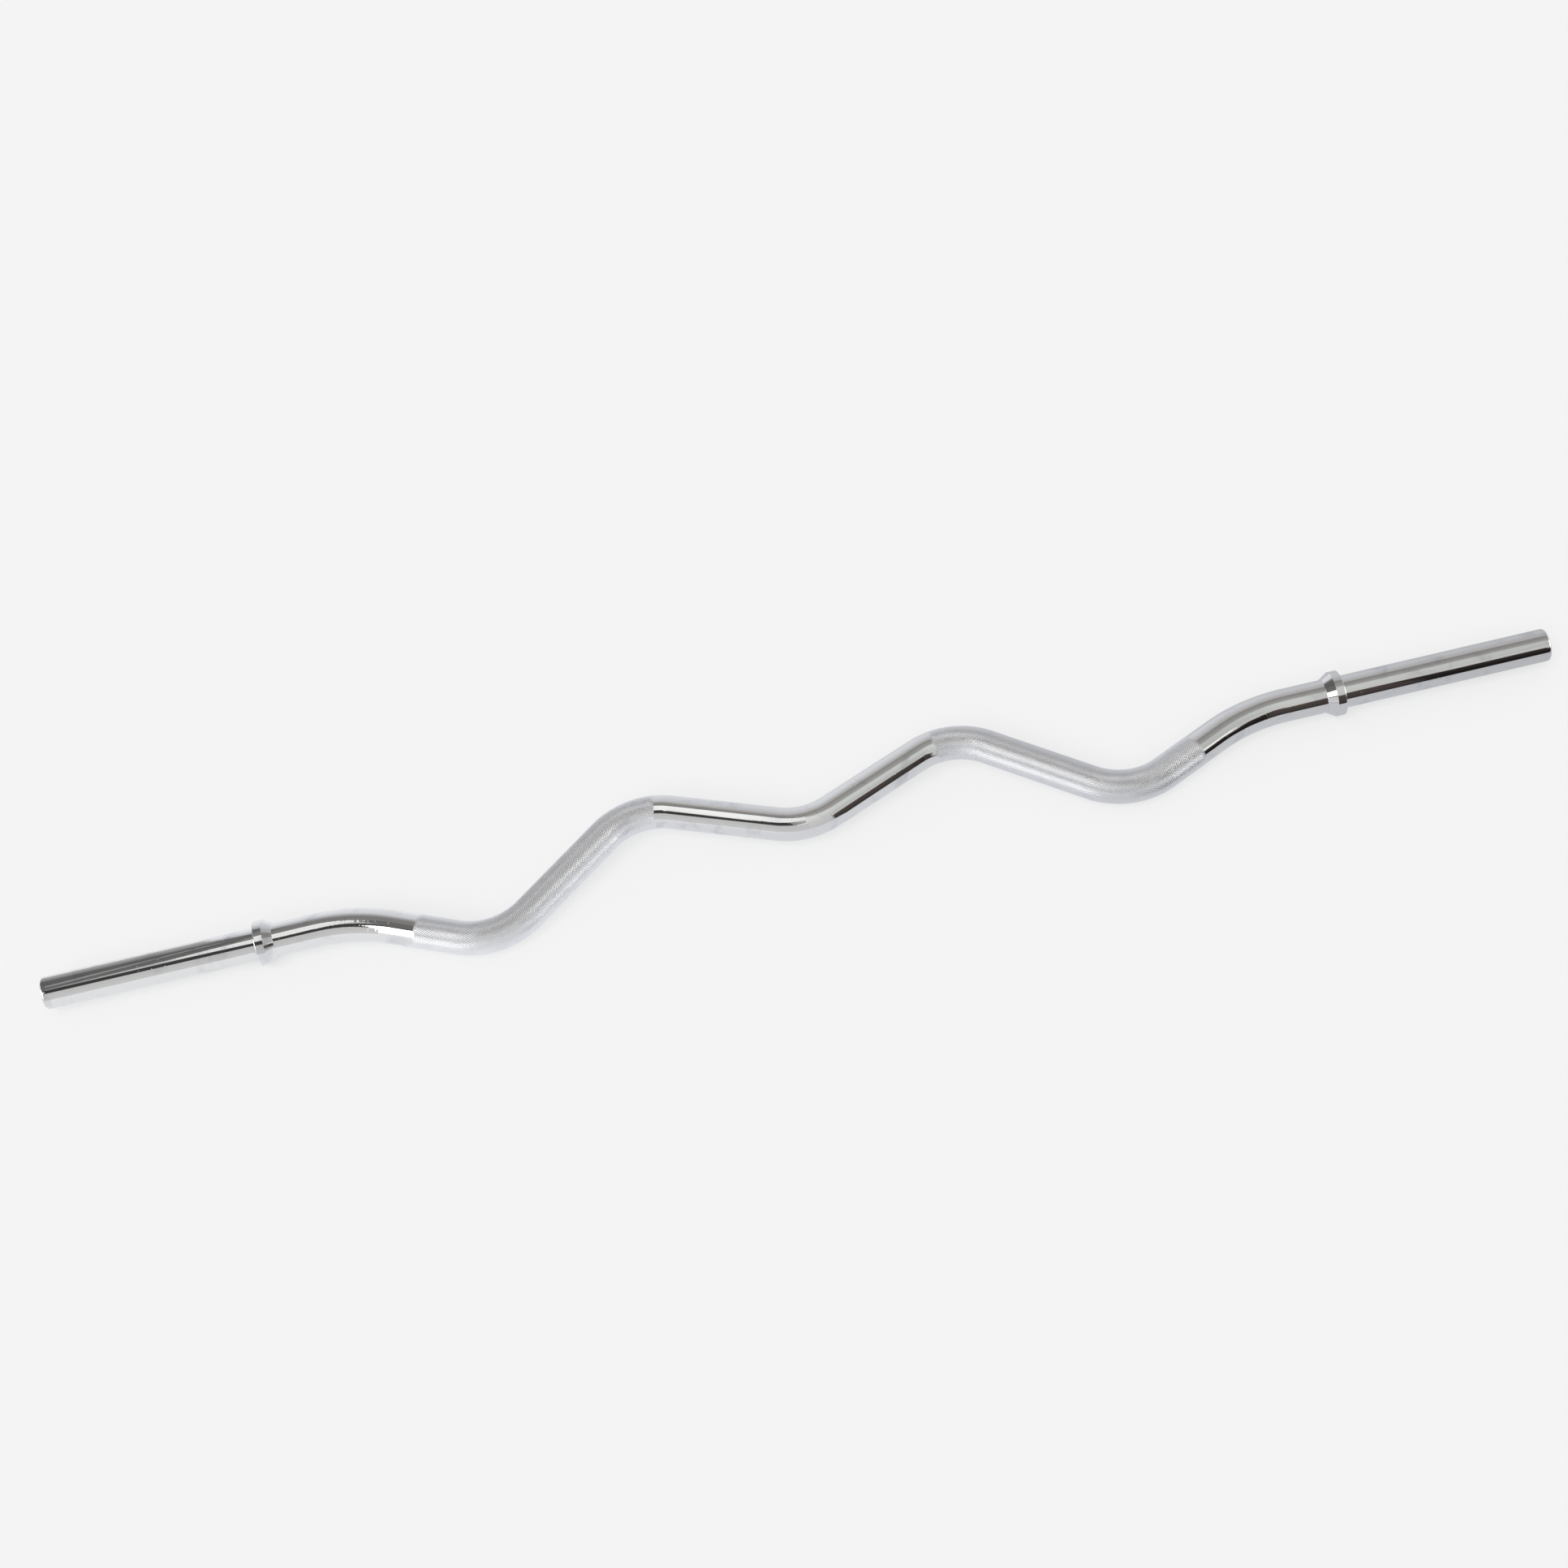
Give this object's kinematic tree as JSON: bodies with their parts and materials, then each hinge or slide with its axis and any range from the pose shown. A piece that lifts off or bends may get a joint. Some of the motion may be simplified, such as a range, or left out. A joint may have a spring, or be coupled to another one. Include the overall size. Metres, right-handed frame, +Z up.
{
  "type": "ez curl bar",
  "caption": "Bent chromed steel curl bar with a shallow W of angled knurled grips, plain sleeves for weight plates and pressed-on stop collars.",
  "frame": {"origin": "on the floor under the middle of the bar's box, with the bar lying at rest on its collars and outer bends", "axes": "+X along the sleeves, +Y from the outer bends towards the inner bends, +Z up from the floor"},
  "size_m": [1.1596, 0.0976, 0.0344],
  "materials": {
    "bar_chrome": "bright chrome plate on solid steel, polished, with rolled diamond knurl on the grips",
    "collar_chrome": "bright chrome plate on turned steel"
  },
  "bodies": {
    "root": {"bar": "bar_chrome", "left_collar": "collar_chrome", "right_collar": "collar_chrome"}
  },
  "joints": []
}
